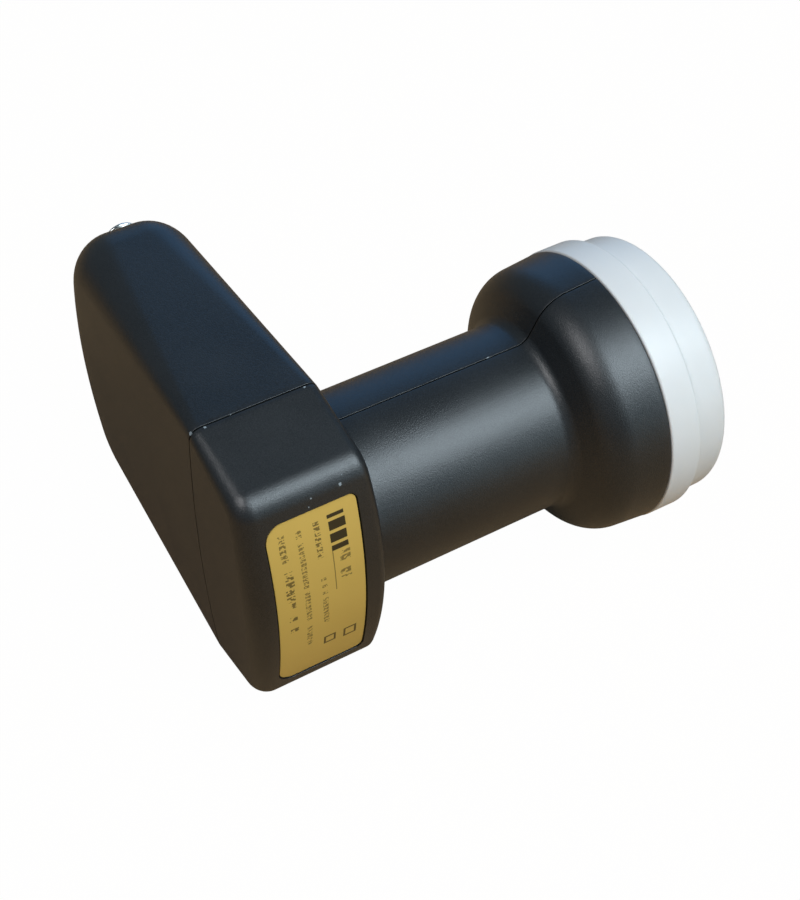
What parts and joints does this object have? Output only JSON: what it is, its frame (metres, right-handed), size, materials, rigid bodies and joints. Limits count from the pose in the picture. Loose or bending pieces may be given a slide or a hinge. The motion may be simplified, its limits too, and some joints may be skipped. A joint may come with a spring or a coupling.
{
  "type": "low-noise block downconverter",
  "caption": "Satellite dish low-noise block downconverter: crowned black two-part housing, neck with flared horn and white feed cap, gold label, threaded coaxial output",
  "frame": {"origin": "on the neck's axis, in the middle of the stretch that the dish arm's collar grips", "axes": "+X along the neck to the feed cap, +Y to the output, +Z across the housing and up as it lies in the picture"},
  "size_m": [0.1048, 0.1074, 0.065],
  "materials": {
    "housing_plastic": "fine-grained satin black moulding",
    "cap_plastic": "smooth satin white moulding",
    "label_foil": null,
    "seal_rubber": "soft black seal",
    "cast_metal": "as cast, matt grey",
    "cover_metal": "as cast, with machined rim",
    "screw_steel": "zinc plated",
    "absorber_foam": "loaded foam sheet",
    "board_laminate": "green lacquered laminate",
    "resonator_ceramic": "fired ceramic",
    "brass_parts": "turned brass",
    "chip_resin": "moulded resin",
    "capacitor_ceramic": "fired ceramic with tinned ends",
    "choke_ferrite": "lacquered wire round a ferrite core",
    "nickel_plating": "nickel plating",
    "insulator_plastic": "white plastic"
  },
  "bodies": {
    "root": {"housing_output_half": "housing_plastic", "housing_label_half": "housing_plastic", "feed_cap": "cap_plastic", "rating_label": "label_foil", "cap_seal": "seal_rubber", "casting": "cast_metal", "cover_plate": "cover_metal", "cover_screws": "screw_steel", "absorber_pad": "absorber_foam", "circuit_board": "board_laminate", "low_band_resonator": "resonator_ceramic", "high_band_resonator": "resonator_ceramic", "low_band_tuning_screw": "brass_parts", "high_band_tuning_screw": "brass_parts", "amplifier_transistors": "chip_resin", "mixer_chip": "chip_resin", "output_amplifier": "chip_resin", "voltage_regulator": "chip_resin", "board_capacitors": "capacitor_ceramic", "supply_choke": "choke_ferrite", "output_connector": "nickel_plating", "output_insulator": "insulator_plastic", "output_contact": "brass_parts", "output_seal": "seal_rubber"}
  },
  "joints": []
}
